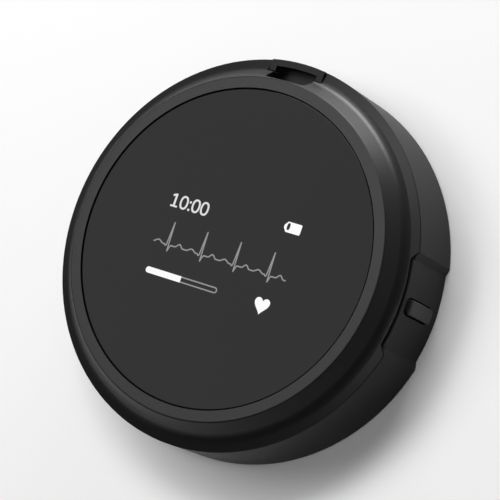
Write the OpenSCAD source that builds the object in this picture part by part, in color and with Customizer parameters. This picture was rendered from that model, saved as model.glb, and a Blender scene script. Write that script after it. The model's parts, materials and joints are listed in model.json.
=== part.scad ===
// Round home ECG monitor: a flat puck with a glass front, a flared front shell,
// one side button in a shallow recess and a lanyard bar let into the top edge.
// Frame: origin at the centre of the rear face, +Z out through the glass,
// +X towards the side button, +Y towards the lanyard bar. Millimetres.

/* [Body] */
// Overall diameter, at the sharp edge of the flared shell
body_d = 62; // [61:0.5:68]
// Overall thickness, from the rear face to the bezel
body_h = 15.6; // [15.2:0.1:18]
// Radial thickness of the housing's side wall
wall_t = 2.8; // [2.6:0.1:3.2]
// Rounding of the housing's front outer edge, which makes the dark seam
seam_round = 0.4; // [0.2:0.05:0.6]
// Rounding of the housing's rear outer edge
rear_round = 0.35; // [0.1:0.05:0.5]

/* [Flared shell] */
// Depth from the bezel down to the sharp edge
flank_h = 3.9; // [3.7:0.1:4.4]
// Radial distance from the bezel's outer edge to the sharp edge
flank_w = 3.9; // [3.6:0.1:4.4]
// Width of the flat bezel ring round the glass
bezel_w = 1.8; // [1.5:0.1:2.2]
// Steepness of the upper wall of the flank, degrees below level
wall_slope = 59; // [56:0.5:62]
// Steepness of the lower band of the flank, degrees below level
band_slope = 21.9; // [19:0.1:24]
// Radius of the cove between that wall and that band
cove_r = 2.4; // [1.2:0.1:2.8]
// Rounding of the bezel's outer edge
bezel_round = 0.3; // [0.15:0.05:0.5]

/* [Cover glass] */
// Thickness of the cover glass
glass_t = 1.1; // [0.8:0.1:1.3]
// Depth of the glass below the bezel
glass_drop = 0.2; // [0.1:0.05:0.5]
// Radial gap round the glass
glass_gap = 0.08; // [0.08:0.02:0.2]
// Rounding of the glass's front edge
glass_round = 0.2; // [0.1:0.05:0.5]
// Width of the ledge that the glass is bonded to
ledge_w = 2.0; // [1.6:0.1:2.2]
// Thickness of the ledge
ledge_t = 1.15; // [1:0.05:1.25]
// Thickness of the bonding ring under the glass
bond_t = 0.15; // [0.1:0.05:0.2]

/* [Display] */
// Width of the display panel
panel_w = 34.5; // [32:0.5:35]
// Height of the display panel on the dial
panel_l = 23; // [21:0.5:24]
// Thickness of the display panel
panel_t = 1.45; // [1.2:0.05:1.5]
// Wall of the rim that holds the panel
rim_t = 0.9; // [0.7:0.1:1.1]
// Width of the display's ribbon
ribbon_w = 12; // [8:1:14]
// Thickness of the display's ribbon
ribbon_t = 0.15; // [0.1:0.05:0.25]

/* [Lanyard bar] */
// Width of the slot that the cord goes through
slot_w = 7.4; // [6.4:0.1:8]
// Radial opening between the bar and the shell
slot_open = 2.7; // [2.2:0.1:2.7]
// Radial thickness of the bar
bar_w = 1.1; // [1.1:0.05:1.4]
// Height of the bar along the body's axis
bar_h = 1.1; // [0.9:0.05:1.3]
// Width of each cheek beside the slot
cheek_w = 1.1; // [0.9:0.05:1.4]
// Depth of the bracket's front face below the bezel
bracket_drop = 3.2; // [2.9:0.1:3.4]
// Gap between the bracket and the shell's notch
bracket_gap = 0.22; // [0.1:0.02:0.26]
// Rounding of the bar's outer front edge
bar_round = 0.2; // [0.1:0.05:0.3]
// Depth of the slot's floor below the bezel
slot_floor = 5.5; // [5.3:0.1:5.8]
// Width of the drain groove in that floor, along the slot's inner wall
groove_w = 0.75; // [0.5:0.05:1]
// Depth of that groove
groove_h = 0.7; // [0.4:0.1:0.8]
// Rounding of the slot's two inner corners, seen from the front
slot_round = 0.55; // [0.3:0.05:1]

/* [Side button] */
// Width of the button across the recess
button_w = 2.4; // [2:0.1:3]
// Length of the button along the body's axis
button_l = 8.7; // [7:0.1:8.9]
// How far the front end of the button stands out of the recess
button_proud = 0.6; // [0.4:0.05:0.65]
// How much less its rear end stands out
button_fall = 0.2; // [0:0.05:0.3]
// Gap round the button in its hole
button_gap = 0.24; // [0.1:0.02:0.3]
// Travel of the button
button_travel = 0.3; // [0.2:0.05:0.35]
// Depth of the recess round the button
recess_depth = 0.64; // [0.5:0.02:0.8]
// Angle of the recess's floor round the body
recess_angle = 26.2; // [22:0.2:34]
// Angle of each sloped end of the recess
ramp_angle = 2; // [1.5:0.1:3]

/* [Rear cover] */
// Thickness of the cover's rim
cover_rim_t = 1.1; // [1:0.1:1.2]
// Thickness of the cover inside its rim
cover_t = 1.8; // [1.6:0.1:1.9]
// Width of the seal under the cover's rim
cover_seal_w = 0.8; // [0.6:0.1:1]
// Thickness of that seal
cover_seal_t = 0.4; // [0.3:0.05:0.45]

/* [Electrodes] */
// Thickness of the skin electrodes
electrode_t = 0.8; // [0.6:0.1:0.9]
// Radius of the middle of the two curved electrodes
electrode_r = 17; // [16:0.5:18]
// Width of the curved electrodes
electrode_w = 6.5; // [5:0.5:7]
// Angle between the end centres of a curved electrode
electrode_angle = 84; // [60:2:90]
// Radius of the round reference electrode
reference_r = 6; // [5:0.5:7]
// Radius of an electrode's stud
stud_r = 1; // [0.8:0.1:1.2]

/* [Circuit board and battery] */
// Height of the board's rear face above the rear face of the body
board_z = 3.5; // [3.4:0.1:3.8]
// Thickness of the circuit board
board_t = 1; // [0.8:0.1:1.2]
// Width of the battery
battery_w = 34; // [28:1:35]
// Length of the battery
battery_l = 24; // [20:1:25]
// Clear height between the battery and the tallest piece on the board
battery_gap = 0.7; // [0.4:0.1:1.2]
// Thickness of the battery's foam pad
pad_t = 0.4; // [0.3:0.1:0.6]
// Diameter of the buzzer
buzzer_d = 9; // [8:0.5:10]

/* [Screws] */
// Thread radius of all screws
screw_r = 0.8; // [0.7:0.05:0.9]
// Head radius of all screws
head_r = 1.4; // [1.3:0.05:1.5]
// Head height of the inner screws
head_h = 0.8; // [0.6:0.1:0.9]
// Radius of the bosses that take the screws
boss_r = 2; // [1.9:0.1:2.2]

/* [Hidden] */
$fn = 96;
eps = 1;             // how far a cutting tool runs past what it cuts
fit = 0.1;           // gap between two parts that are put together
thread_fit = 0.02;   // gap between a screw and its thread's wall
seam = 0.06;         // gap between the shell's and the housing's flat faces
blend = 0.001;       // an arc's extra radius, so that it crosses what it would touch

// Radii of the body and the shell
body_r = body_d / 2;
bezel_r = body_r - flank_w;
glass_hole_r = bezel_r - bezel_w;
glass_r = glass_hole_r - glass_gap;
ledge_in_r = glass_hole_r - ledge_w;
wall_in_r = body_r - wall_t;
rib_t = 1.2;
rib_h = 0.3;
rib_out_r = wall_in_r - fit;
rib_in_r = rib_out_r - rib_t;
shell_seal_w = 0.5;
shell_seal_out_r = rib_in_r - fit;
shell_seal_in_r = shell_seal_out_r - shell_seal_w;
shell_in_r = shell_seal_in_r - 2 * fit;
flange_in_r = shell_in_r - 2 * fit;

// Heights of the front stack, from the bezel down
part_z = body_h - flank_h;
glass_z = body_h - glass_drop - glass_t;
shelf_z = glass_z - bond_t;
ledge_z = shelf_z - ledge_t;
panel_z = glass_z - fit - panel_t;
shell_seal_t = 0.4;
flange_z = part_z - shell_seal_t;
flange_t = 1;
ear_t = 1;
ear_top_z = flange_z + ear_t;
plate_t = panel_z - flange_z;

// The cove: where its two straight neighbours would meet, and its arc
turn = wall_slope - band_slope;
wall_dir = [cos(wall_slope), -sin(wall_slope)];
band_dir = [cos(band_slope), -sin(band_slope)];
drop_at_edge = flank_h - flank_w * tan(band_slope);
corner_w = drop_at_edge / (tan(wall_slope) - tan(band_slope));
cove_corner = [bezel_r + corner_w, body_h - corner_w * tan(wall_slope)];
cove_reach = cove_r * tan(turn / 2);
cove_start = cove_corner - cove_reach * wall_dir;
cove_end = cove_corner + cove_reach * band_dir;
cove_centre = cove_start + cove_r * [sin(wall_slope), cos(wall_slope)];

// The lanyard bar
bracket_w = slot_w + 2 * cheek_w;
bracket_z = body_h - bracket_drop;
bar_in_r = body_r - bar_w;
slot_in_y = bar_in_r - slot_open;
slot_floor_z = body_h - slot_floor;
cheek_step = 1.65;    // the cheeks start this far out from the slot's inner wall
cheek_in_y = slot_in_y + cheek_step;
block_t = 1.3;
dam_y = shell_seal_out_r + fit / 2;

// The rear cover
cover_bore_r = wall_in_r + 1;
cover_r = cover_bore_r - fit;
cover_plug_r = wall_in_r - 2 * fit;
cover_ledge_z = cover_rim_t + cover_seal_t;

// The side button, its recess and its switch
recess_r = body_r - recess_depth;
recess_round = seam_round + 0.06;   // not the same, so that the two roundings cross
notch_r = recess_r - recess_round;
button_z = (cover_ledge_z + part_z) / 2;
button_top_x = recess_r + button_proud;
button_flange_w = button_w + 1.8;
button_flange_l = 2 * (flange_z - flange_t - fit - button_z);
button_flange_t = 0.8;
button_rest_gap = 0.25;
button_flange_x = wall_in_r - button_rest_gap;
button_back_x = button_flange_x - button_flange_t;
button_seal_t = 0.5;
button_seal_depth = 0.3;
button_seal_in = 0.7;   // where the seal's groove starts in the wall
button_seal_x = wall_in_r + button_seal_in;
touch_gap = 0.05;
plunger_r = 0.9;
plunger_out = 0.7;
plunger_tip_x = button_back_x - touch_gap;
switch_w = 6;
switch_l = 3.4;
switch_x = plunger_tip_x - plunger_out;
board_top_z = board_z + board_t;
switch_h = 2 * (button_z - board_top_z - fit);

// Screws: angles round the body, and places
shell_screw_angles = [60, 120, 240, 300];
shell_boss_r = 1.6;
shell_screw_in = 1.3;   // from the ledge's inner edge out to the screws
shell_screw_r = ledge_in_r + shell_screw_in;
ear_r = shell_in_r - fit - shell_screw_r;
cover_screw_angles = [45, 135, 225, 315];
board_screw_angles = [90, 180, 270];
boss_in = 2.9;          // from the side wall in to the bosses' middle
boss_at_r = wall_in_r - boss_in;
boss_h = 3.6;
boss_top_z = board_top_z + boss_h;
board_gap = 0.8;
board_r = wall_in_r - board_gap;
head_gap = 0.15;
sink_h = 0.9;

// What stands on the board: [x, y, width, length, height]
chips = [
    [-9, -8, 7, 7, 0.9],
    [2, -9, 5, 5, 0.8],
    [11.5, -6, 4, 4, 0.8],
    [-16, 0, 3.2, 2.5, 0.7],
    [16.5, 1, 3.2, 1.6, 0.6],
];
piece_gap = 1.2;        // from the bosses to what stands beside them
clear_r = boss_at_r - boss_r - piece_gap;
can_size = [14, 11, 1.7];
can_at = [clear_r * cos(45) - can_size[0] / 2, clear_r * sin(45) - can_size[1] / 2];
buzzer_h = 1.9;
buzzer_at = (clear_r - buzzer_d / 2) * [cos(135), sin(135)];
battery_z = board_top_z + buzzer_h + battery_gap;
battery_t = flange_z - pad_t - battery_z;

// The ribbon's way down, past the panel and the battery, to its connector
ribbon_bend = 0.9;
ribbon_gap = 0.75;
ribbon_lead = 0.35;
ribbon_down_y = -max(panel_l / 2 + ribbon_bend + ribbon_lead, battery_l / 2 + ribbon_gap);
connector_side = 1;
connector_w = ribbon_w + 2 * connector_side;
connector_l = 3.4;
connector_h = 1.2;
connector_back = 0.5;
connector_lead = 1.15;
connector_y = ribbon_down_y - ribbon_bend - connector_lead - connector_l / 2;

// Charge contacts
contact_pitch = 2.54;
contact_x = [for (i = [-1.5 : 1.5]) contact_pitch * i];
contact_r = 0.9;
contact_gap = 0.4;
contact_y = contact_r + contact_gap + boss_r - boss_at_r;
stud_angles = [0, 180];
stud_seal_w = 1;
stud_seal_t = 0.4;
spring_t = 0.15;
spring_w = 1.6;
spring_l = 3.2;
stud_out = 0.6;
stud_top_z = cover_t + stud_out;
flush_t = 0.05;         // the cover screws lie this deep in their sinks

// Points of an arc that rounds the corner b between a and c
function unit(v) = v / norm(v);
function round_corner(a, b, c, r, n = 5) =
    let (u = unit(a - b),
         v = unit(c - b),
         half = acos(u * v) / 2,
         mid = b + unit(u + v) * r / sin(half),
         p = b + u * r / tan(half),
         q = b + v * r / tan(half),
         p_angle = atan2(p[1] - mid[1], p[0] - mid[0]),
         q_angle = atan2(q[1] - mid[1], q[0] - mid[0]),
         span = (q_angle - p_angle + 540) % 360 - 180)
    [for (i = [0 : n]) mid + r * [cos(p_angle + span * i / n), sin(p_angle + span * i / n)]];

// Outline of a strip of thickness t that follows a path
function heading(path, i) =
    let (n = len(path))
    unit(path[min(i + 1, n - 1)] - path[max(i - 1, 0)]);
function beside(path, i, s) =
    let (h = heading(path, i))
    path[i] + s * [-h[1], h[0]];
function strip_outline(path, t) =
    let (n = len(path))
    concat([for (i = [0 : n - 1]) beside(path, i, t / 2)],
           [for (i = [n - 1 : -1 : 0]) beside(path, i, -t / 2)]);

// Places its children at an angle and a distance from the body's axis
module around(angles, r) {
    for (a = angles) rotate([0, 0, a]) translate([r, 0, 0]) children();
}

// Extrudes a shape, drawn with its x along -Z and its y along Y, from x0 to x1
module along_x(x0, x1) {
    translate([x0, 0, 0]) rotate([0, 90, 0]) linear_extrude(x1 - x0) children();
}

// A rod with round ends, seen from its side
module stadium(l, w) {
    square([l - w, w], center = true);
    for (s = [-1, 1]) translate([s * (l - w) / 2, 0]) circle(d = w);
}

// A flat ring
module ring(r_out, r_in, h) {
    difference() {
        cylinder(r = r_out, h = h);
        translate([0, 0, -eps]) cylinder(r = r_in, h = h + 2 * eps);
    }
}

// A pan-head screw that points up, with its head's underside at the origin
module pan_screw(shank_l) {
    translate([0, 0, -head_h]) cylinder(r = head_r, h = head_h);
    cylinder(r = screw_r, h = shank_l);
}

// Outline that takes the recess, or the shell's notch over it, out of the side
module recess_area(r_floor) {
    a = recess_angle / 2;
    low = r_floor * [cos(a), sin(a)];
    high = body_r * [cos(a + ramp_angle), sin(a + ramp_angle)];
    slope = unit(high - low);
    inner = low - 2 * slope;
    outer = high + 2 * slope;
    difference() {
        polygon([inner, outer, [body_d, outer[1]], [body_d, -outer[1]],
                 [outer[0], -outer[1]], [inner[0], -inner[1]]]);
        circle(r_floor);
    }
}

// Cutter that rounds the housing's front edge along the recess's floor and ends
module recess_edge() {
    top = part_z - seam;
    a = recess_angle / 2;
    low = recess_r * [cos(a), sin(a)];
    high = body_r * [cos(a + ramp_angle), sin(a + ramp_angle)];
    turn_at_low = acos(unit(high - low) * [-sin(a), cos(a)]);
    lap = recess_round * tan(turn_at_low / 2);
    far = 3;
    section = concat(round_corner([-far, top], [0, top], [0, 0], recess_round, 4),
                     [[far, top - recess_round], [far, top + eps], [-recess_round, top + eps]]);
    lap_angle = atan(lap / recess_r);
    rotate([0, 0, -a - lap_angle]) rotate_extrude(angle = 2 * (a + lap_angle))
        translate([recess_r + blend, 0]) polygon(section);
    for (s = [0, 1]) mirror([0, s, 0])
        translate(low) rotate(atan2(high[1] - low[1], high[0] - low[0]) - 90)
            translate([blend, norm(high - low) + far, 0]) rotate([90, 0, 0])
                linear_extrude(norm(high - low) + far + lap) polygon(section);
}

// Half section of the front shell: bezel, flared flank and glass ledge
module shell_profile() {
    inner_top = [glass_hole_r, body_h];
    outer_top = [bezel_r, body_h];
    difference() {
        polygon(concat(
            [[glass_hole_r, shelf_z]],
            [inner_top],
            round_corner(inner_top, outer_top, cove_start, bezel_round),
            [cove_start, cove_centre, cove_end, [body_r, part_z]],
            [[shell_in_r, part_z], [shell_in_r, ledge_z]],
            [[ledge_in_r, ledge_z], [ledge_in_r, shelf_z]]));
        translate(cove_centre) circle(cove_r + blend);
    }
}

module front_shell() color([0.13, 0.13, 0.14]) {
    tall = body_h - part_z + 2 * eps;
    roof_t = 0.3;        // what is left over each screw's hole
    difference() {
        union() {
            rotate_extrude() shell_profile();
            around(shell_screw_angles, shell_screw_r) translate([0, 0, ear_top_z])
                cylinder(r = shell_boss_r, h = ledge_z - ear_top_z + ledge_t / 2);
        }
        around(shell_screw_angles, shell_screw_r) translate([0, 0, ear_top_z - eps])
            cylinder(r = screw_r + thread_fit, h = shelf_z - roof_t - ear_top_z + eps);
        translate([0, 0, part_z - eps]) linear_extrude(tall) slot_plan();
        translate([-bracket_w / 2 - bracket_gap, cheek_in_y - bracket_gap, part_z - eps])
            cube([bracket_w + 2 * bracket_gap, body_r, tall]);
        translate([0, 0, part_z - eps])
            linear_extrude(tall) recess_area(notch_r);
    }
    translate([0, 0, part_z - rib_h]) linear_extrude(rib_h + ledge_t / 2) difference() {
        circle(rib_out_r);
        circle(rib_in_r);
        translate([-bracket_w / 2 - bracket_gap, 0])
            square([bracket_w + 2 * bracket_gap, body_r]);
    }
}

module cover_glass() color([0.03, 0.03, 0.035]) {
    top = glass_z + glass_t;
    low_out = [glass_r, glass_z];
    top_out = [glass_r, top];
    middle = [0, top];
    rotate_extrude()
        polygon(concat([[0, glass_z], low_out],
                       round_corner(low_out, top_out, middle, glass_round), [middle]));
}

module glass_bond() color([0.08, 0.08, 0.08]) {
    translate([0, 0, shelf_z]) ring(glass_hole_r - 2 * fit, ledge_in_r + fit, bond_t);
}

// The panel's rear sheet is longer, and carries the ribbon on its free strip
module display_panel() color([0.05, 0.05, 0.09]) {
    strip = 3;
    translate([-panel_w / 2, -panel_l / 2, panel_z])
        cube([panel_w, panel_l, panel_t / 2]);
    translate([-panel_w / 2, -panel_l / 2 + strip, panel_z])
        cube([panel_w, panel_l - strip, panel_t]);
}

module display_holder() color([0.25, 0.25, 0.27]) {
    rim_w = panel_w + 2 * (fit + rim_t);
    rim_l = panel_l + 2 * (fit + rim_t);
    rim_h = panel_t * 0.7;
    wing = 3;            // how much wider than the rim the plate is
    arm_w = 2.6;
    arm_l = 5;
    ribbon_slot = 0.8;
    difference() {
        union() {
            translate([0, 0, flange_z]) linear_extrude(ear_t)
                intersection() {
                    circle(ledge_in_r - fit);
                    square([rim_w + wing, 2 * ledge_in_r], center = true);
                }
            around(shell_screw_angles, shell_screw_r) translate([0, 0, flange_z]) {
                cylinder(r = ear_r, h = ear_t);
                translate([-arm_l, -arm_w / 2, 0]) cube([arm_l, arm_w, ear_t]);
            }
            translate([-rim_w / 2, -rim_l / 2, flange_z])
                cube([rim_w, rim_l, plate_t + rim_h]);
        }
        translate([-panel_w / 2 - fit, -panel_l / 2 - fit, panel_z])
            cube([panel_w + 2 * fit, panel_l + 2 * fit, body_h]);
        around(shell_screw_angles, shell_screw_r) translate([0, 0, flange_z - eps])
            cylinder(r = screw_r + fit, h = ear_t + 2 * eps);
        translate([-ribbon_w / 2 - fit, ribbon_down_y - ribbon_slot, flange_z - eps])
            cube([ribbon_w + 2 * fit, ribbon_slot - ribbon_down_y - panel_l / 2 + fit, body_h]);
    }
}

// The ribbon leaves the panel, turns down past the battery and out into its
// connector on the board
module display_ribbon() color([0.75, 0.45, 0.12]) {
    lap = 1.5;           // how far it reaches on to the panel's free strip
    start_y = -panel_l / 2;
    down_y = ribbon_down_y;
    low_z = board_top_z + connector_h / 2;
    high_z = panel_z + panel_t / 2 + ribbon_t / 2;
    end_y = connector_y - connector_l / 2 + connector_back + fit;
    path = concat(
        [[start_y + lap, high_z], [start_y, high_z]],
        round_corner([start_y, high_z], [down_y, high_z], [down_y, low_z], ribbon_bend, 6),
        round_corner([down_y, high_z], [down_y, low_z], [end_y, low_z], ribbon_bend, 6),
        [[end_y, low_z]]);
    translate([-ribbon_w / 2, 0, 0]) rotate([90, 0, 90])
        linear_extrude(ribbon_w) polygon(strip_outline(path, ribbon_t));
}

module shell_seal() color([0.2, 0.2, 0.2]) {
    translate([0, 0, flange_z]) ring(shell_seal_out_r, shell_seal_in_r, shell_seal_t);
}

// Half section of the housing: side wall, inner flange and the cover's seat
module housing_profile() {
    top = part_z - seam;
    rear_in = [cover_bore_r, 0];
    rear_out = [body_r, 0];
    top_out = [body_r, top];
    top_in = [wall_in_r, top];
    polygon(concat(
        [rear_in],
        round_corner(rear_in, rear_out, top_out, rear_round),
        round_corner(rear_out, top_out, top_in, seam_round),
        [top_in, [wall_in_r, flange_z]],
        [[flange_in_r, flange_z], [flange_in_r, flange_z - flange_t]],
        [[wall_in_r, flange_z - flange_t], [wall_in_r, cover_ledge_z]],
        [[cover_bore_r, cover_ledge_z]]));
}

// The bracket that rises through the shell's notch, before the slot is cut
module strap_bracket() {
    base_z = slot_floor_z - block_t;
    section = concat(
        [[wall_in_r, base_z], [body_r, base_z]],
        round_corner([body_r, base_z], [body_r, bracket_z], [wall_in_r, bracket_z], bar_round),
        [[wall_in_r, bracket_z]]);
    intersection() {
        rotate([0, 0, 80]) rotate_extrude(angle = 20) polygon(section);
        translate([-bracket_w / 2, cheek_in_y, 0]) cube([bracket_w, body_d, body_h]);
    }
    translate([-bracket_w / 2, slot_in_y - block_t, base_z])
        cube([bracket_w, wall_in_r + fit - slot_in_y + block_t, flange_z - base_z]);
    translate([-bracket_w / 2, dam_y, base_z])
        cube([bracket_w, wall_in_r + fit - dam_y, part_z - seam - base_z]);
}

// Plan of the slot, open to the outside
module slot_plan() {
    half = slot_w / 2;
    out_a = [-half, body_d];
    in_a = [-half, slot_in_y];
    in_b = [half, slot_in_y];
    out_b = [half, body_d];
    polygon(concat([out_a], round_corner(out_a, in_a, in_b, slot_round, 8),
                   round_corner(in_a, in_b, out_b, slot_round, 8), [out_b]));
}

// The way of the cord: down the shell, over the floor and out under the bar
module strap_slot() {
    translate([0, 0, slot_floor_z]) linear_extrude(body_h) slot_plan();
    translate([0, 0, slot_floor_z - groove_h]) linear_extrude(body_h) intersection() {
        slot_plan();
        translate([-slot_w, 0]) square([2 * slot_w, slot_in_y + groove_w]);
    }
}

module slot_bar() {
    low_z = bracket_z - bar_h;
    section = concat(
        [[bar_in_r, low_z], [body_r, low_z]],
        round_corner([body_r, low_z], [body_r, bracket_z], [bar_in_r, bracket_z], bar_round),
        [[bar_in_r, bracket_z]]);
    intersection() {
        rotate([0, 0, 80]) rotate_extrude(angle = 20) polygon(section);
        translate([-bracket_w / 2, 0, 0]) cube([bracket_w, body_d, body_h]);
    }
}

// A screw boss on a web to the side wall
module wall_boss(z0, z1) {
    translate([0, 0, z0]) cylinder(r = boss_r, h = z1 - z0);
    translate([0, -boss_r * 0.6, z0])
        cube([wall_in_r + fit - boss_at_r, boss_r * 1.2, z1 - z0]);
}

module housing() color([0.15, 0.15, 0.16]) {
    lug_r = 2;
    cover_hole_h = 4;
    board_hole_h = 3;
    difference() {
        union() {
            rotate_extrude() housing_profile();
            strap_bracket();
            around(shell_screw_angles, shell_screw_r) translate([0, 0, flange_z - flange_t])
                cylinder(r = lug_r, h = flange_t);
            around(cover_screw_angles, boss_at_r) wall_boss(cover_t, boss_top_z);
            around(board_screw_angles, boss_at_r) wall_boss(board_top_z, boss_top_z);
        }
        strap_slot();
        translate([0, 0, -eps]) linear_extrude(body_h + 2 * eps) recess_area(recess_r);
        recess_edge();
        along_x(wall_in_r - eps, body_r + eps) translate([-button_z, 0])
            stadium(button_l + 2 * button_gap, button_w + 2 * button_gap);
        around(shell_screw_angles, shell_screw_r) translate([0, 0, flange_z - flange_t - eps])
            cylinder(r = screw_r + fit, h = flange_t + 2 * eps);
        around(cover_screw_angles, boss_at_r) translate([0, 0, cover_t - eps])
            cylinder(r = screw_r + thread_fit, h = cover_hole_h + eps);
        around(board_screw_angles, boss_at_r) translate([0, 0, board_top_z - eps])
            cylinder(r = screw_r + thread_fit, h = board_hole_h + eps);
    }
    slot_bar();
}

module shell_screws() color([0.7, 0.7, 0.72]) {
    tip_gap = 0.5;
    shank = ledge_z + ledge_t - tip_gap - (flange_z - flange_t);
    around(shell_screw_angles, shell_screw_r)
        translate([0, 0, flange_z - flange_t]) pan_screw(shank);
}

module board_screws() color([0.7, 0.7, 0.72]) {
    bite = 2.6;
    around(board_screw_angles, boss_at_r) translate([0, 0, board_z]) pan_screw(board_t + bite);
}

// Countersunk screws that hold the rear cover, with their cross sockets
module cover_screws() color([0.62, 0.62, 0.65]) {
    socket_l = head_r * 1.1;
    socket_w = 0.35;
    socket_h = 0.5;
    bite = 3.4;
    around(cover_screw_angles, boss_at_r) difference() {
        union() {
            translate([0, 0, flush_t])
                cylinder(r1 = head_r, r2 = screw_r, h = sink_h - flush_t);
            translate([0, 0, sink_h - fit])
                cylinder(r = screw_r, h = cover_t + bite - sink_h);
        }
        for (a = [0, 90]) rotate([0, 0, a])
            translate([-socket_l / 2, -socket_w / 2, -eps]) cube([socket_l, socket_w, eps + socket_h]);
    }
}

// A curved electrode's outline, w wide, with round ends, centred on +X
module arc_bar(w) {
    a = electrode_angle / 2;
    far = 2 * body_r;
    intersection() {
        difference() {
            circle(electrode_r + w / 2);
            circle(electrode_r - w / 2);
        }
        polygon([[0, 0], far * [cos(a), sin(a)], [far, 0], far * [cos(a), -sin(a)]]);
    }
    for (s = [-1, 1]) rotate([0, 0, s * a]) translate([electrode_r, 0])
        circle(r = w / 2 + blend);
}

module rear_cover() color([0.17, 0.17, 0.18]) {
    difference() {
        union() {
            cylinder(r = cover_r, h = cover_rim_t);
            cylinder(r = cover_plug_r, h = cover_t);
        }
        for (a = stud_angles) rotate([0, 0, a]) {
            translate([0, 0, -eps]) linear_extrude(electrode_t + eps)
                arc_bar(electrode_w + 2 * fit);
            translate([electrode_r, 0, 0]) stud_hole();
        }
        translate([0, 0, -eps]) cylinder(r = reference_r + fit, h = electrode_t + eps);
        stud_hole();
        around(cover_screw_angles, boss_at_r) sink_hole();
        for (x = contact_x) translate([x, contact_y, -eps])
            cylinder(r = contact_r + fit, h = cover_t + 2 * eps);
    }
}

// Hole for a cover screw, with the sink for its head
module sink_hole() {
    head_hole_r = head_r + head_gap;
    flare = (head_hole_r - screw_r - fit) / sink_h;
    top = cover_t + eps;
    rotate_extrude()
        polygon([[0, -eps], [head_hole_r + flare * eps, -eps], [screw_r + fit, sink_h],
                 [screw_r + fit, top], [0, top]]);
}

// Hole for an electrode's stud, with the seat of its seal
module stud_hole() {
    seat_r = stud_r + stud_seal_w;
    seat_z = electrode_t + stud_seal_t;
    top = cover_t + eps;
    rotate_extrude()
        polygon([[0, 0], [seat_r, 0], [seat_r, seat_z], [stud_r + fit, seat_z],
                 [stud_r + fit, top], [0, top]]);
}

module rear_seal() color([0.1, 0.1, 0.1]) {
    translate([0, 0, cover_rim_t]) ring(wall_in_r + cover_seal_w + fit, wall_in_r + fit, cover_seal_t);
}

module electrode_stud() {
    translate([0, 0, electrode_t / 2]) cylinder(r = stud_r, h = stud_top_z - electrode_t / 2);
}

module curved_electrode() {
    linear_extrude(electrode_t) arc_bar(electrode_w);
    translate([electrode_r, 0, 0]) electrode_stud();
}

module electrode_right() color([0.78, 0.78, 0.8]) rotate([0, 0, stud_angles[0]]) curved_electrode();

module electrode_left() color([0.78, 0.78, 0.8]) rotate([0, 0, stud_angles[1]]) curved_electrode();

module electrode_reference() color([0.78, 0.78, 0.8]) {
    cylinder(r = reference_r, h = electrode_t);
    electrode_stud();
}

// Where the three studs come up
stud_places = concat([[0, 0]], [for (a = stud_angles) electrode_r * [cos(a), sin(a)]]);

module electrode_seals() color([0.55, 0.12, 0.1]) {
    for (p = stud_places) translate([p[0], p[1], electrode_t])
        ring(stud_r + stud_seal_w - fit, stud_r + fit / 2, stud_seal_t);
}

// Leaf springs under the board that press on the studs
module electrode_springs() color([0.85, 0.72, 0.3]) {
    leaf = [[0, 0], [spring_l, 0], [spring_l, -spring_t], [1.2, -spring_t],
            [-0.4, stud_top_z - board_z + spring_t], [-0.4, stud_top_z - board_z],
            [-0.7, stud_top_z - board_z], [-0.7, stud_top_z - board_z + spring_t * 1.5],
            [0, -spring_t]];
    for (p = stud_places) translate([p[0], p[1] + spring_w / 2, board_z]) rotate([90, 0, 0])
        linear_extrude(spring_w) polygon(leaf);
}

module charge_contacts() color([0.86, 0.7, 0.3]) {
    for (x = contact_x) translate([x, contact_y, 0]) {
        cylinder(r = contact_r, h = cover_t + 0.3);
        cylinder(r = contact_r / 2, h = board_z);
    }
}

module main_board() color([0.05, 0.3, 0.16]) {
    notch_gap = 0.3;     // round the button's flange at the end of its travel
    translate([0, 0, board_z]) linear_extrude(board_t) difference() {
        circle(board_r);
        around2d(cover_screw_angles, boss_at_r) {
            circle(boss_r + 2 * fit);
            translate([0, -boss_r - 2 * fit]) square([wall_t + 2, 2 * boss_r + 4 * fit]);
        }
        around2d(board_screw_angles, boss_at_r) circle(screw_r + fit);
        translate([button_back_x - button_travel - notch_gap, -button_flange_w / 2 - notch_gap])
            square([wall_t, button_flange_w + 2 * notch_gap]);
    }
}

module around2d(angles, r) {
    for (a = angles) rotate(a) translate([r, 0]) children();
}

module board_chips() color([0.12, 0.12, 0.13]) {
    for (c = chips) translate([c[0] - c[2] / 2, c[1] - c[3] / 2, board_top_z])
        cube([c[2], c[3], c[4]]);
}

module shield_can() color([0.75, 0.75, 0.77]) {
    sheet = 0.2;
    translate([can_at[0] - can_size[0] / 2, can_at[1] - can_size[1] / 2, board_top_z])
        difference() {
            cube(can_size);
            translate([sheet, sheet, -eps])
                cube([can_size[0] - 2 * sheet, can_size[1] - 2 * sheet, can_size[2] - sheet + eps]);
        }
}

module ribbon_connector() color([0.85, 0.83, 0.75]) {
    mouth = ribbon_t + fit;
    translate([-connector_w / 2, connector_y - connector_l / 2, board_top_z]) difference() {
        cube([connector_w, connector_l, connector_h]);
        translate([(connector_w - ribbon_w) / 2 - fit, connector_back,
                   connector_h / 2 - mouth / 2])
            cube([ribbon_w + 2 * fit, connector_l + eps, mouth]);
    }
}

module buzzer() color([0.1, 0.1, 0.1]) {
    port_r = 0.8;
    translate([buzzer_at[0], buzzer_at[1], board_top_z]) difference() {
        cylinder(d = buzzer_d, h = buzzer_h);
        translate([0, 0, buzzer_h - 0.5]) cylinder(r = port_r, h = eps);
    }
}

// A pouch cell with its folded side seams and the tab end towards -X
module battery() color([0.72, 0.73, 0.75]) {
    fold = 0.8;
    cap_w = 2.4;
    translate([-battery_w / 2 + cap_w, -battery_l / 2, battery_z])
        cube([battery_w - cap_w, battery_l, battery_t]);
    translate([-battery_w / 2, -battery_l / 2 + fold, battery_z + battery_t * 0.3])
        cube([cap_w + fit, battery_l - 2 * fold, battery_t * 0.6]);
}

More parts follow.
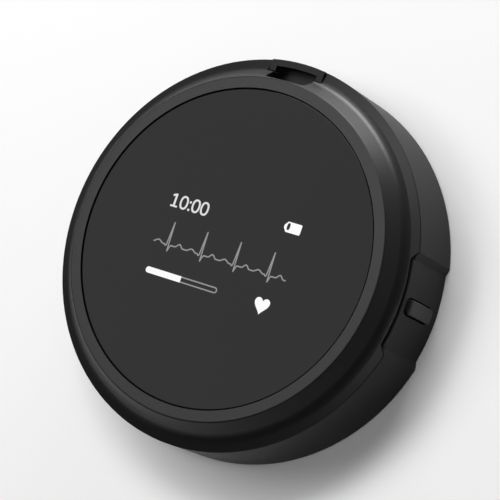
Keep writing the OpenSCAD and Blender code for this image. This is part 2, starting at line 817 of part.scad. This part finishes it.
module battery_pad() color([0.15, 0.15, 0.15]) {
    inset = 2;
    translate([-battery_w / 2 + 2 * inset, -battery_l / 2 + inset, battery_z + battery_t])
        cube([battery_w - 3 * inset, battery_l - 2 * inset, pad_t]);
}

// Nickel strips from the cell's end down to the board
module battery_tabs() color([0.8, 0.8, 0.78]) {
    tab_w = 2.5;
    tab_t = 0.15;
    foot = 1.6;
    x_end = -battery_w / 2;
    top = battery_z + battery_t * 0.7;
    for (s = [-1, 1]) translate([0, (s * battery_l / 2 - tab_w) / 2, 0]) {
        translate([x_end - tab_t, 0, board_top_z]) cube([tab_t, tab_w, top - board_top_z]);
        translate([x_end - foot, 0, board_top_z]) cube([foot, tab_w, tab_t]);
    }
}

// The part of the cap that fills the hole, with its rounded, falling top
module button_head() {
    edge_r = 0.45;
    front_r = 1.2;
    rear_r = 0.3;
    half_l = button_l / 2;
    half_w = button_w / 2;
    low_x = button_flange_x - 0.1;
    rear_x = button_top_x - button_fall;
    // Seen from the side, x outward and z up
    front_low = [low_x, half_l];
    front_top = [button_top_x, half_l];
    rear_top = [rear_x, -half_l];
    rear_low = [low_x, -half_l];
    side_view = concat([front_low], round_corner(front_low, front_top, rear_top, front_r, 8),
                       round_corner(front_top, rear_top, rear_low, rear_r, 6), [rear_low]);
    // Seen along the body's axis
    end_a = [button_top_x, -half_w];
    end_b = [button_top_x, half_w];
    low_a = [low_x, -half_w];
    low_b = [low_x, half_w];
    end_view = concat([low_a], round_corner(low_a, end_a, end_b, edge_r),
                      round_corner(end_a, end_b, low_b, edge_r), [low_b]);
    intersection() {
        along_x(low_x, button_top_x) translate([-button_z, 0]) stadium(button_l, button_w);
        translate([0, half_w, button_z]) rotate([90, 0, 0])
            linear_extrude(button_w) polygon(side_view);
        translate([0, 0, button_z - half_l]) linear_extrude(button_l) polygon(end_view);
    }
}

module button_cap() color([0.16, 0.16, 0.17]) {
    groove = button_seal_depth;
    difference() {
        union() {
            button_head();
            along_x(button_back_x, button_flange_x) translate([-button_z, 0])
                square([button_flange_l, button_flange_w], center = true);
        }
        along_x(button_seal_x, button_seal_x + button_seal_t) translate([-button_z, 0])
            difference() {
                stadium(button_l + eps, button_w + eps);
                stadium(button_l - 2 * groove, button_w - 2 * groove);
            }
    }
}

module button_seal() color([0.3, 0.3, 0.32]) {
    inner = button_seal_depth - 0.02;
    along_x(button_seal_x + 0.02, button_seal_x + button_seal_t - 0.02)
        translate([-button_z, 0]) difference() {
            stadium(button_l + button_gap, button_w + button_gap);
            stadium(button_l - 2 * inner, button_w - 2 * inner);
        }
}

module side_switch() color([0.2, 0.2, 0.2]) {
    translate([switch_x - switch_l, -switch_w / 2, board_top_z]) difference() {
        cube([switch_l, switch_w, switch_h]);
        translate([switch_l / 2, switch_w / 2, button_z - board_top_z]) rotate([0, 90, 0])
            cylinder(r = plunger_r + fit, h = switch_l);
    }
}

module switch_plunger() color([0.75, 0.7, 0.6]) {
    inside = switch_l / 2 - button_travel - fit;
    translate([switch_x - inside, 0, button_z]) rotate([0, 90, 0])
        cylinder(r = plunger_r, h = plunger_out + inside);
}

front_shell();
cover_glass();
glass_bond();
display_panel();
display_holder();
display_ribbon();
shell_seal();
housing();
shell_screws();
rear_cover();
rear_seal();
cover_screws();
electrode_right();
electrode_left();
electrode_reference();
electrode_seals();
electrode_springs();
charge_contacts();
main_board();
board_screws();
board_chips();
shield_can();
ribbon_connector();
buzzer();
battery();
battery_pad();
battery_tabs();
button_cap();
button_seal();
side_switch();
switch_plunger();
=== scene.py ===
"""Looks of the round home ECG monitor: materials, the lit display, camera and light.

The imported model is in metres, with +Z out through the glass, +X towards the side button
and +Y towards the lanyard bar. The display's picture and the camera's place are written
in millimetres and pass through MM. The studio is written in metres.
"""

import json
import math

import bmesh
import bpy
from mathutils import Matrix, Vector


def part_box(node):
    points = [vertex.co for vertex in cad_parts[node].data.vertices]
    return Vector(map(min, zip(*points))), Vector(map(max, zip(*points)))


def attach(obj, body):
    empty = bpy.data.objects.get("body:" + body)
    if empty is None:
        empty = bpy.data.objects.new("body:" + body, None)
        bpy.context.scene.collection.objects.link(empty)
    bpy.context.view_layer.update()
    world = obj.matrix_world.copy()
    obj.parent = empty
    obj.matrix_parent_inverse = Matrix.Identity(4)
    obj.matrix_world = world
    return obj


MM = 0.001

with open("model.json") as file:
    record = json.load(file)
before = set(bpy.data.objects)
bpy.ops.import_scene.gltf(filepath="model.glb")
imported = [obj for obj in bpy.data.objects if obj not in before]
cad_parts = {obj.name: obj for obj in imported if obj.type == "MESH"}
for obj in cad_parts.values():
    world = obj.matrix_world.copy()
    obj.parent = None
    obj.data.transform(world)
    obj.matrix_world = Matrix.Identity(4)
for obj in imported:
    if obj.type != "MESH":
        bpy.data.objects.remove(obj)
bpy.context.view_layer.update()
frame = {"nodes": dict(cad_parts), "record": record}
scene = bpy.context.scene
scene.view_settings.view_transform = "Standard"


# ---------------------------------------------------------------- camera
# fitted to the photograph: the body lies on its back and the camera is rolled
CAMERA_RIGHT = (0.8230, 0.3325, -0.4605)
CAMERA_UP = (-0.2495, 0.9400, 0.2329)
CAMERA_PLACE = (197.68, -28.30, 339.51)
CAMERA_LENS = 180.0
CAMERA_SENSOR = 36.0
CAMERA_NEAR, CAMERA_FAR = 0.01, 20.0


def make_camera():
    """The photograph's view."""
    right = Vector(CAMERA_RIGHT)
    back = right.cross(Vector(CAMERA_UP)).normalized()
    up = back.cross(right).normalized()
    right.normalize()
    data = bpy.data.cameras.new("camera")
    data.sensor_width = CAMERA_SENSOR
    data.lens = CAMERA_LENS
    data.clip_start = CAMERA_NEAR
    data.clip_end = CAMERA_FAR
    cam = bpy.data.objects.new("camera", data)
    turn = Matrix((right, up, back)).transposed().to_4x4()
    cam.matrix_world = Matrix.Translation(Vector(CAMERA_PLACE) * MM) @ turn
    scene.collection.objects.link(cam)
    scene.camera = cam


# ---------------------------------------------------------------- materials
# colours and gloss are spread over this stretch of the noise's values
NOISE_LOW, NOISE_HIGH = 0.3, 0.7
BLOTCH_DETAIL = 3.0
GRAIN_DETAIL = 2.0


def new_material(name):
    mat = bpy.data.materials.new(name)
    mat.use_nodes = True
    nodes = mat.node_tree.nodes
    return mat, nodes, mat.node_tree.links, nodes["Principled BSDF"]


def noise(nodes, links, coord, scale, detail, stretch=None):
    """Noise in the object's own metres; a stretch below 1 draws the grain out along an axis."""
    source = coord.outputs["Object"]
    if stretch:
        mapping = nodes.new("ShaderNodeMapping")
        mapping.inputs["Scale"].default_value = stretch
        links.new(source, mapping.inputs["Vector"])
        source = mapping.outputs["Vector"]
    tex = nodes.new("ShaderNodeTexNoise")
    tex.inputs["Scale"].default_value = scale
    tex.inputs["Detail"].default_value = detail
    links.new(source, tex.inputs["Vector"])
    return tex.outputs["Fac"]


def spread(nodes, links, fac, low, high):
    """Maps the noise on to low..high."""
    node = nodes.new("ShaderNodeMapRange")
    node.inputs["From Min"].default_value = NOISE_LOW
    node.inputs["From Max"].default_value = NOISE_HIGH
    node.inputs["To Min"].default_value = low
    node.inputs["To Max"].default_value = high
    links.new(fac, node.inputs["Value"])
    return node.outputs["Result"]


def tint(nodes, links, fac, dark, light):
    """Maps the noise on to dark..light."""
    ramp = nodes.new("ShaderNodeValToRGB")
    first, last = ramp.color_ramp.elements
    first.position = NOISE_LOW
    first.color = (*dark, 1.0)
    last.position = NOISE_HIGH
    last.color = (*light, 1.0)
    links.new(fac, ramp.inputs["Fac"])
    return ramp.outputs["Color"]


def bumped(nodes, links, bsdf, height, strength, distance):
    bump = nodes.new("ShaderNodeBump")
    bump.inputs["Strength"].default_value = strength
    bump.inputs["Distance"].default_value = distance
    links.new(height, bump.inputs["Height"])
    links.new(bump.outputs["Normal"], bsdf.inputs["Normal"])


def surface(name, dark, light, rough, grain=4000, blotch=60, bump=0.1, depth=2e-5,
            metallic=0.0, specular=0.5, stretch=None):
    """A solid surface: blotches in its colour, grain in its gloss and in its relief."""
    mat, nodes, links, bsdf = new_material(name)
    coord = nodes.new("ShaderNodeTexCoord")
    wide = noise(nodes, links, coord, blotch, BLOTCH_DETAIL)
    fine = noise(nodes, links, coord, grain, GRAIN_DETAIL, stretch)
    links.new(tint(nodes, links, wide, dark, light), bsdf.inputs["Base Color"])
    links.new(spread(nodes, links, fine, *rough), bsdf.inputs["Roughness"])
    bumped(nodes, links, bsdf, fine, bump, depth)
    bsdf.inputs["Metallic"].default_value = metallic
    bsdf.inputs["Specular IOR Level"].default_value = specular
    return mat


# the outer mouldings' darkest and lightest blotches
BLACK = (0.0030, 0.0030, 0.0031)
BLACK_LIGHT = (0.0042, 0.0042, 0.0044)

# the look of each slot of the record, as surface() takes it
SURFACES = {
    "shell_plastic": dict(dark=BLACK, light=BLACK_LIGHT, rough=(0.39, 0.45), grain=5200,
                          bump=0.12, specular=0.26),
    "housing_plastic": dict(dark=BLACK, light=BLACK_LIGHT, rough=(0.40, 0.46), grain=4800,
                            bump=0.14, specular=0.12),
    "cover_plastic": dict(dark=(0.012, 0.012, 0.0125), light=(0.018, 0.018, 0.0187),
                          rough=(0.45, 0.58), grain=4200, bump=0.35, specular=0.3),
    "button_plastic": dict(dark=(0.004, 0.004, 0.0042), light=(0.0055, 0.0055, 0.0057),
                           rough=(0.28, 0.35), grain=5000, specular=0.22),
    "dark_glass": dict(dark=BLACK, light=(0.0040, 0.0040, 0.0041), rough=(0.10, 0.13),
                       grain=900, blotch=25, bump=0.02, depth=4e-6, specular=0.085),
    "display": dict(dark=(0.004, 0.004, 0.008), light=(0.006, 0.006, 0.011),
                    rough=(0.12, 0.2), specular=0.4),
    "adhesive": dict(dark=(0.01, 0.01, 0.01), light=(0.02, 0.02, 0.02), rough=(0.6, 0.8)),
    "holder_plastic": dict(dark=(0.04, 0.04, 0.045), light=(0.055, 0.055, 0.06),
                           rough=(0.45, 0.6), bump=0.2),
    "ribbon_film": dict(dark=(0.42, 0.15, 0.02), light=(0.5, 0.2, 0.03), rough=(0.25, 0.35),
                        stretch=(1.0, 0.1, 0.1)),
    "seal_rubber": dict(dark=(0.012, 0.012, 0.012), light=(0.02, 0.02, 0.02),
                        rough=(0.6, 0.8), bump=0.2, specular=0.3),
    "silicone": dict(dark=(0.24, 0.02, 0.014), light=(0.3, 0.03, 0.02), rough=(0.45, 0.6)),
    "screw_steel": dict(dark=(0.36, 0.36, 0.38), light=(0.46, 0.46, 0.48), rough=(0.25, 0.4),
                        grain=2500, metallic=1.0),
    "electrode_steel": dict(dark=(0.5, 0.5, 0.51), light=(0.6, 0.6, 0.61),
                            rough=(0.24, 0.38), grain=3000, bump=0.15, metallic=1.0,
                            stretch=(1.0, 0.04, 1.0)),
    "gold_plate": dict(dark=(0.66, 0.44, 0.12), light=(0.76, 0.52, 0.16), rough=(0.2, 0.3),
                       grain=2500, metallic=1.0),
    "board": dict(dark=(0.012, 0.07, 0.03), light=(0.018, 0.1, 0.045), rough=(0.25, 0.4),
                  grain=1500),
    "chip_black": dict(dark=(0.01, 0.01, 0.01), light=(0.018, 0.018, 0.018),
                       rough=(0.5, 0.7), bump=0.3),
    "tin_plate": dict(dark=(0.45, 0.45, 0.47), light=(0.55, 0.55, 0.57), rough=(0.25, 0.4),
                      metallic=1.0),
    "connector_plastic": dict(dark=(0.62, 0.58, 0.45), light=(0.7, 0.66, 0.52),
                              rough=(0.4, 0.55)),
    "cell_foil": dict(dark=(0.42, 0.43, 0.45), light=(0.52, 0.53, 0.55), rough=(0.3, 0.45),
                      grain=700, bump=0.3, metallic=1.0),
    "foam": dict(dark=(0.02, 0.02, 0.02), light=(0.03, 0.03, 0.03), rough=(0.8, 0.95),
                 grain=2500, bump=0.6),
    "nickel": dict(dark=(0.5, 0.49, 0.45), light=(0.58, 0.57, 0.52), rough=(0.3, 0.4),
                   metallic=1.0),
}


def dress_nodes():
    """Gives every node of the frame the material of its slot."""
    materials = {slot: surface(slot, **look) for slot, look in SURFACES.items()}
    slots = {s["node"]: s["material_slot"] for s in frame["record"]["subparts"]}
    for name, obj in frame["nodes"].items():
        mat = materials[slots[name]]
        if not obj.material_slots:
            obj.data.materials.append(mat)
        for slot in obj.material_slots:
            slot.material = mat


# ---------------------------------------------------------------- display
# the lit marks are thin plates that lie just clear of the glass
GLASS_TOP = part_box("cover_glass")[1].z / MM
INK_LOW = GLASS_TOP + 0.004
INK_HIGH = GLASS_TOP + 0.016

# the picture was measured in the bezel's plane, and on the glass it is this far off
SHIFT_X, SHIFT_Y = -0.07, -0.03

# how bright the marks are: the solid ones, the time and the thin lines
WHITE_LEVEL, TIME_LEVEL, LINE_LEVEL = 0.96, 0.72, 0.27
# the grain of the pixels, the brightness of its darkest spots and the lean towards blue
PIXEL_GRAIN, PIXEL_DETAIL = 2600, 1.0
PIXEL_DARK, PIXEL_BLUE = 0.93, 1.01
# the marks' own surface
INK_COLOUR = (0.02, 0.02, 0.02, 1.0)
INK_ROUGH = 0.5
INK_SPECULAR = 0.2

# corners of a plate closer than this, in metres, are one
MERGE = 1e-8


def lit_material(name, level):
    """A lit part of the display: the grain of its pixels shows in the brightness."""
    mat, nodes, links, bsdf = new_material(name)
    coord = nodes.new("ShaderNodeTexCoord")
    pixels = noise(nodes, links, coord, PIXEL_GRAIN, PIXEL_DETAIL)
    bsdf.inputs["Base Color"].default_value = INK_COLOUR
    bsdf.inputs["Roughness"].default_value = INK_ROUGH
    bsdf.inputs["Specular IOR Level"].default_value = INK_SPECULAR
    bsdf.inputs["Emission Strength"].default_value = 1.0
    low = level * PIXEL_DARK
    links.new(tint(nodes, links, pixels, (low, low, low), (level, level, level * PIXEL_BLUE)),
              bsdf.inputs["Emission Color"])
    return mat


def lit_piece(name, mesh, material):
    """Puts a finished mesh on the display, as a piece of the case."""
    mesh.materials.clear()
    mesh.materials.append(material)
    piece = bpy.data.objects.new(name, mesh)
    scene.collection.objects.link(piece)
    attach(piece, "case")


def plate(name, loops, material, z0=INK_LOW, z1=INK_HIGH):
    """A thin plate on the glass from closed outlines; an inner outline is a hole."""
    curve = bpy.data.curves.new(name, "CURVE")
    curve.dimensions = "2D"
    curve.fill_mode = "BOTH"
    curve.extrude = (z1 - z0) / 2 * MM
    for loop in loops:
        spline = curve.splines.new("POLY")
        spline.points.add(len(loop) - 1)
        for point, (x, y) in zip(spline.points, loop):
            point.co = ((x + SHIFT_X) * MM, (y + SHIFT_Y) * MM, 0.0, 1.0)
        spline.use_cyclic_u = True
    holder = bpy.data.objects.new(name + "_outline", curve)
    scene.collection.objects.link(holder)
    holder.location.z = (z0 + z1) / 2 * MM
    bpy.context.view_layer.update()
    depsgraph = bpy.context.evaluated_depsgraph_get()
    mesh = bpy.data.meshes.new_from_object(holder.evaluated_get(depsgraph))
    mesh.transform(holder.matrix_world)
    mesh.name = name
    bpy.data.objects.remove(holder)
    bm = bmesh.new()
    bm.from_mesh(mesh)
    bmesh.ops.remove_doubles(bm, verts=bm.verts, dist=MERGE)
    bmesh.ops.recalc_face_normals(bm, faces=bm.faces)
    bm.to_mesh(mesh)
    bm.free()
    lit_piece(name, mesh, material)


def oval(cx, cy, rx, ry, power, n=40):
    """A rounded loop; a power above 2 squares it up."""
    points = []
    for i in range(n):
        a = 2 * math.pi * i / n
        c, s = math.cos(a), math.sin(a)
        points.append((cx + rx * math.copysign(abs(c) ** (2 / power), c),
                       cy + ry * math.copysign(abs(s) ** (2 / power), s)))
    return points


def round_box(x0, x1, y0, y1, r, n=8):
    """A rectangle with rounded corners, anticlockwise from its right end."""
    loop = []
    for cx, cy, start in ((x1 - r, y1 - r, 0), (x0 + r, y1 - r, 90), (x0 + r, y0 + r, 180),
                          (x1 - r, y0 + r, 270)):
        for i in range(n + 1):
            a = math.radians(start + 90 * i / n)
            loop.append((cx + r * math.cos(a), cy + r * math.sin(a)))
    return loop


# The time, in plain figures
TIME_LOW, TIME_HIGH = 3.75, 5.9
ONE_X = -10.98
# the left and right edges of the one's stem and foot, off ONE_X
ONE_STEM = (-0.17, 0.19)
ONE_FOOT = (-0.62, 0.66)
ONE_FOOT_HIGH = 0.28
# its slanted stroke, from the stem's top to the tip and back, off ONE_X and TIME_HIGH
ONE_STROKE = ((-0.1, 0.0), (-0.66, -0.22), (-0.6, -0.52), (-0.17, -0.4))
ZERO_XS = (-9.3, -7.05, -5.42)
# a nought's two loops: half width, what is added to the figures' half height, and power
ZERO_OUTER = (0.76, 0.02, 2.3)
ZERO_INNER = (0.44, -0.28, 2.2)
# the colon's dots: height above the figures' foot, radius, power and points
COLON_X = -8.18
COLON_YS = (0.2, 1.42)
COLON_R, COLON_POWER, COLON_POINTS = 0.19, 2.4, 20


def make_time(material):
    """A plain time of day in upright figures, with a foot under the one."""
    mid = (TIME_LOW + TIME_HIGH) / 2
    half = (TIME_HIGH - TIME_LOW) / 2
    foot_top = TIME_LOW + ONE_FOOT_HIGH
    stem_left, stem_right = (ONE_X + x for x in ONE_STEM)
    foot_left, foot_right = (ONE_X + x for x in ONE_FOOT)
    one = [(stem_left, foot_top), (foot_left, foot_top), (foot_left, TIME_LOW),
           (foot_right, TIME_LOW), (foot_right, foot_top), (stem_right, foot_top),
           (stem_right, TIME_HIGH)]
    one += [(ONE_X + x, TIME_HIGH + y) for x, y in ONE_STROKE]
    loops = [one]
    for cx in ZERO_XS:
        outer, inner = (oval(cx, mid, wide, half + more, power)
                        for wide, more, power in (ZERO_OUTER, ZERO_INNER))
        loops += [outer, inner[::-1]]
    for y in COLON_YS:
        loops.append(oval(COLON_X, TIME_LOW + y, COLON_R, COLON_R, COLON_POWER,
                          COLON_POINTS))
    plate("screen_time", loops, material)


# The battery mark, with its tip on the left
CELL_X, CELL_Y = (9.38, 11.94), (4.96, 6.6)
CELL_CORNER, CELL_CORNER_POINTS = 0.2, 5
# the body's outline stops this far from its left end, and the tip's shoulders take over
CELL_CUT = 0.15
CELL_SHOULDER = 0.02
CELL_TIP, CELL_TIP_HALF = 0.44, 0.2
# the dark slot: its centre off the left end and the middle, half sizes, power and points
CELL_SLOT_X, CELL_SLOT_Y = 0.3, 0.08
CELL_SLOT = (0.27, 0.56)
CELL_SLOT_POWER, CELL_SLOT_POINTS = 2.6, 24


def make_battery_mark(material):
    """A lying battery, full but for a dark slot by its tip."""
    x0, x1 = CELL_X
    y0, y1 = CELL_Y
    mid = (y0 + y1) / 2
    body = [p for p in round_box(x0, x1, y0, y1, CELL_CORNER, CELL_CORNER_POINTS)
            if p[0] > x0 + CELL_CUT]
    top = [p for p in body if p[1] > mid]
    bottom = [p for p in body if p[1] <= mid]
    nose = [(x0 + CELL_SHOULDER, y1 - CELL_SHOULDER), (x0 - CELL_TIP, mid + CELL_TIP_HALF),
            (x0 - CELL_TIP, mid - CELL_TIP_HALF), (x0 + CELL_SHOULDER, y0 + CELL_SHOULDER)]
    hole = oval(x0 + CELL_SLOT_X, mid + CELL_SLOT_Y, *CELL_SLOT, CELL_SLOT_POWER,
                CELL_SLOT_POINTS)
    plate("screen_battery", [top + nose + bottom, hole[::-1]], material)


# The trace: four beats, each with a small wave, a spike and a larger wave
TRACE_START, TRACE_END, TRACE_STEP = -12.25, 12.4, 0.16
TRACE_BASE, TRACE_TOP, TRACE_DIP = -2.12, 1.5, -3.1
BEAT_X, BEAT_PERIOD, BEAT_COUNT = -9.62, 6.22, 4
BEATS = [BEAT_X + BEAT_PERIOD * i for i in range(BEAT_COUNT)]
# a wave's height, its middle off the spike, and its half length
WAVE_BEFORE = (0.42, -1.78, 0.95)
WAVE_AFTER = (0.55, 2.12, 0.75)
# the spike's points from foot to foot, with x off its tip
SPIKE = ((-0.36, TRACE_BASE - 0.22), (-0.2, TRACE_BASE - 0.05), (0.0, TRACE_TOP),
         (0.24, TRACE_DIP), (0.46, TRACE_BASE - 0.28), (0.56, TRACE_BASE - 0.06))
# the line between two spikes leaves off and starts again this far off their tips
SPIKE_START, SPIKE_END = -0.42, 0.68
# the line is a row of boxes that run past their ends by a share of their width
TRACE_WIDE, TRACE_OVERLAP = 0.2, 0.3
# each second box lies this much higher, so that no two faces coincide
TRACE_STAGGER = 0.0008


def wave(x, beat, height, after, half):
    """The height of a rounded hill beside a beat, which is 0 beyond its ends."""
    d = abs(x - (beat + after)) / half
    return height * (0.5 + 0.5 * math.cos(math.pi * d)) if d < 1 else 0.0


def trace_points():
    """The corners of the trace's line, from left to right."""
    x, points = TRACE_START, []
    for beat in BEATS:
        while x < beat + SPIKE_START:
            rise = wave(x, beat, *WAVE_BEFORE) + wave(x, beat - BEAT_PERIOD, *WAVE_AFTER)
            points.append((x, TRACE_BASE + rise))
            x += TRACE_STEP
        points += [(beat + dx, y) for dx, y in SPIKE]
        x = beat + SPIKE_END
    while x < TRACE_END:
        points.append((x, TRACE_BASE + wave(x, BEATS[-1], *WAVE_AFTER)))
        x += TRACE_STEP
    return points


def make_trace(material):
    points = trace_points()
    bm = bmesh.new()
    for i in range(len(points) - 1):
        a, b = Vector(points[i]), Vector(points[i + 1])
        along = (b - a).normalized()
        side = Vector((-along.y, along.x)) * TRACE_WIDE / 2
        a -= along * TRACE_WIDE * TRACE_OVERLAP
        b += along * TRACE_WIDE * TRACE_OVERLAP
        ring = [a - side, b - side, b + side, a + side]
        lift = TRACE_STAGGER * (i % 2)
        low, high = ([bm.verts.new(((p.x + SHIFT_X) * MM, (p.y + SHIFT_Y) * MM, z * MM))
                      for p in ring] for z in (INK_LOW + lift, INK_HIGH + lift))
        bm.faces.new(low[::-1])
        bm.faces.new(high)
        for k in range(4):
            bm.faces.new((low[k], low[(k + 1) % 4], high[(k + 1) % 4], high[k]))
    bmesh.ops.recalc_face_normals(bm, faces=bm.faces)
    mesh = bpy.data.meshes.new("screen_trace")
    bm.to_mesh(mesh)
    bm.free()
    lit_piece("screen_trace", mesh, material)


# The progress bar: its ends, middle, height and line, and where its filled part ends
BAR_X, BAR_Y, BAR_HIGH, BAR_LINE = (-11.86, 1.58), -6.66, 0.98, 0.2
BAR_SPLIT = -5.25
# an end's radius stays this much under half the height, so that its two arcs don't touch
BAR_SHY = 0.001
# the fill lies higher than the outline, so that no two faces coincide
FILL_LOW, FILL_HIGH = INK_LOW + 0.002, INK_HIGH + 0.004


def make_bar(white, grey):
    """A thin outline, filled for half its length."""
    x0, x1 = BAR_X
    y0, y1 = BAR_Y - BAR_HIGH / 2, BAR_Y + BAR_HIGH / 2
    end = BAR_HIGH / 2 - BAR_SHY
    outer = round_box(x0, x1, y0, y1, end)
    inner = round_box(x0 + BAR_LINE, x1 - BAR_LINE, y0 + BAR_LINE, y1 - BAR_LINE,
                      end - BAR_LINE)
    plate("screen_bar_outline", [outer, inner[::-1]], grey)
    # the fill is the left half of a bar that has its middle at the split
    fill = [p for p in round_box(x0, 2 * BAR_SPLIT - x0, y0, y1, end) if p[0] < BAR_SPLIT]
    top = [p for p in fill if p[1] > BAR_Y]
    bottom = [p for p in fill if p[1] <= BAR_Y]
    loop = [(BAR_SPLIT, y1)] + top + bottom + [(BAR_SPLIT, y0)]
    plate("screen_bar_fill", [loop], white, FILL_LOW, FILL_HIGH)


HEART_X, HEART_LOW, HEART_HIGH, HEART_HALF = 9.78, -8.2, -5.48, 1.42
HEART_POINTS = 60
# where the curve's middle stands 1 over its tip, its lobes stand this much over it
HEART_SPAN = 1.705
# each point goes to the middle of these neighbours, which blunts the tip and the notch
HEART_NEAR = (-3, -1, 0, 1, 3)


def make_heart(material):
    """A heart from the usual curve, whose tip lies 17 under its middle."""
    loop = []
    for i in range(HEART_POINTS):
        t = 2 * math.pi * i / HEART_POINTS
        x = math.sin(t) ** 3
        y = (13 * math.cos(t) - 5 * math.cos(2 * t) - 2 * math.cos(3 * t)
             - math.cos(4 * t)) / 17
        share = (y + 1) / HEART_SPAN
        loop.append((HEART_X + x * HEART_HALF,
                     HEART_LOW + share * (HEART_HIGH - HEART_LOW)))
    soft = []
    for i in range(HEART_POINTS):
        near = [loop[(i + k) % HEART_POINTS] for k in HEART_NEAR]
        soft.append((sum(q[0] for q in near) / len(near), sum(q[1] for q in near) / len(near)))
    plate("screen_heart", [soft[::-1]], material)


def make_screen():
    white = lit_material("lit_white", WHITE_LEVEL)
    soft = lit_material("lit_soft", TIME_LEVEL)
    grey = lit_material("lit_grey", LINE_LEVEL)
    make_time(soft)
    make_battery_mark(white)
    make_trace(grey)
    make_bar(white, grey)
    make_heart(white)


# ---------------------------------------------------------------- studio
WORLD_LEVEL = 0.1
FLOOR_HALF, FLOOR_CELLS = 3.0, 8
# the floor lies this far under the rear face, so that the two don't coincide
FLOOR_DROP = 0.00003
FLOOR_LOOK = dict(dark=(0.88, 0.88, 0.88), light=(0.9, 0.9, 0.9), rough=(0.85, 0.95),
                  grain=300, blotch=3, bump=0.02, specular=0.1)
LAMP_AIM = Vector((0, 0, 0.01))

# name, place, width, height, power
LAMPS = (
    # the main soft light, from above the bar
    ("key", (-0.115, 0.296, 0.509), 0.4, 0.18, 2.2),
    # a soft panel where the camera sees it mirrored, even across the glass and bezel
    ("fill", (-0.305, 0.048, 0.514), 0.3, 0.3, 1.2),
    # a small lamp high on the right lights the band's edge beside the recess
    ("top", (0.12, -0.03, 0.587), 0.12, 0.12, 0.5),
    # a low strip behind the bar lights the upper right of the flank
    ("rim", (0.0, 0.5, 0.018), 0.3, 0.03, 3.4),
)


def area_light(name, place, width, height, power):
    data = bpy.data.lights.new(name, "AREA")
    data.shape = "RECTANGLE"
    data.size = width
    data.size_y = height
    data.energy = power
    lamp = bpy.data.objects.new(name, data)
    place = Vector(place)
    turn = (LAMP_AIM - place).to_track_quat("-Z", "Y").to_matrix().to_4x4()
    lamp.matrix_world = Matrix.Translation(place) @ turn
    scene.collection.objects.link(lamp)
    return lamp


def make_floor():
    bm = bmesh.new()
    bmesh.ops.create_grid(bm, x_segments=FLOOR_CELLS, y_segments=FLOOR_CELLS, size=FLOOR_HALF)
    mesh = bpy.data.meshes.new("floor")
    bm.to_mesh(mesh)
    bm.free()
    floor = bpy.data.objects.new("floor", mesh)
    floor.location.z = -FLOOR_DROP
    scene.collection.objects.link(floor)
    mesh.materials.append(surface("floor_paper", **FLOOR_LOOK))


def make_world():
    world = bpy.data.worlds.new("studio")
    world.use_nodes = True
    background = world.node_tree.nodes["Background"]
    background.inputs["Color"].default_value = (1.0, 1.0, 1.0, 1.0)
    background.inputs["Strength"].default_value = WORLD_LEVEL
    scene.world = world


def make_lamps():
    lamps = {row[0]: area_light(*row) for row in LAMPS}
    # the strip stands low enough to be in view from the side
    lamps["rim"].visible_camera = False


make_camera()
dress_nodes()
make_screen()
make_floor()
make_world()
make_lamps()
